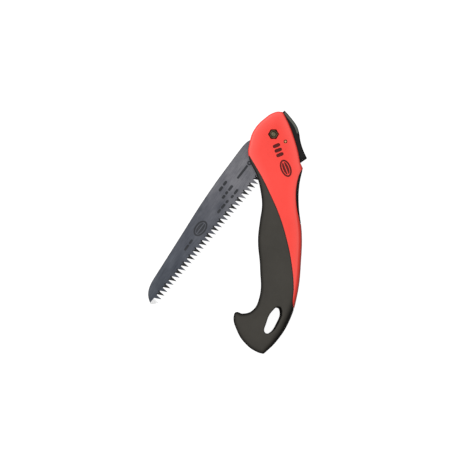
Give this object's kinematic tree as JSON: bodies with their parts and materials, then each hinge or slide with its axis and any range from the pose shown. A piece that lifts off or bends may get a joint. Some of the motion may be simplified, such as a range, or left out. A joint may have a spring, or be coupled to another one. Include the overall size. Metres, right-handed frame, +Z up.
{
  "type": "folding pruning saw",
  "caption": "Folding hand saw for pruning: a tapered pull-stroke blade folds into a slotted two-tone handle with a hooked end and is held by a rocker lock.",
  "frame": {"origin": "on the flat back face of the handle, under the middle of the grip; the saw lies on this face", "axes": "+Z up through the thickness, towards the face with the hexagon nut; +Y along the handle towards the blade's pivot; +X towards the handle's spine"},
  "size_m": [0.1476, 0.226, 0.022],
  "materials": {
    "red_shell": "satin injection-moulded polyamide",
    "soft_grip": "fine matt texture",
    "black_nylon": "satin moulded",
    "saw_steel": "dark, ground and lacquered",
    "bright_steel": "zinc plated",
    "yellow_metal": "yellow passivated"
  },
  "bodies": {
    "handle": {"shell_front": "red_shell", "shell_back": "red_shell", "grip_front": "soft_grip", "grip_back": "soft_grip", "spine_pad": "soft_grip", "pivot_bolt": "yellow_metal", "pivot_nut": "yellow_metal", "pivot_bush": "bright_steel", "pivot_washer_front": "bright_steel", "pivot_washer_back": "bright_steel", "spring_washer": "bright_steel", "lock_pin": "yellow_metal", "stop_pin": "bright_steel", "shell_screw_1": "bright_steel", "shell_screw_2": "bright_steel", "shell_screw_3": "bright_steel", "shell_screw_4": "bright_steel", "lock_spring": "bright_steel"},
    "saw_blade": {"blade": "saw_steel"},
    "lever": {"lock_lever": "black_nylon", "latch_plate": "bright_steel", "latch_rivet": "bright_steel"}
  },
  "joints": [
    {"name": "blade_fold", "type": "hinge", "parent": "handle", "child": "saw_blade", "pos_m": [-0.002, 0.095, 0.011], "axis": [0, 0, 1], "range_deg": [-149.5, 30.5]},
    {"name": "lock_release", "type": "hinge", "parent": "handle", "child": "lever", "pos_m": [0.009, 0.0882, 0.011], "axis": [0, 0, -1], "range_deg": [0, 6], "stiffness_Nm_per_rad": 0.6, "springref_deg": -8.59, "deforming": ["lock_spring"]}
  ]
}
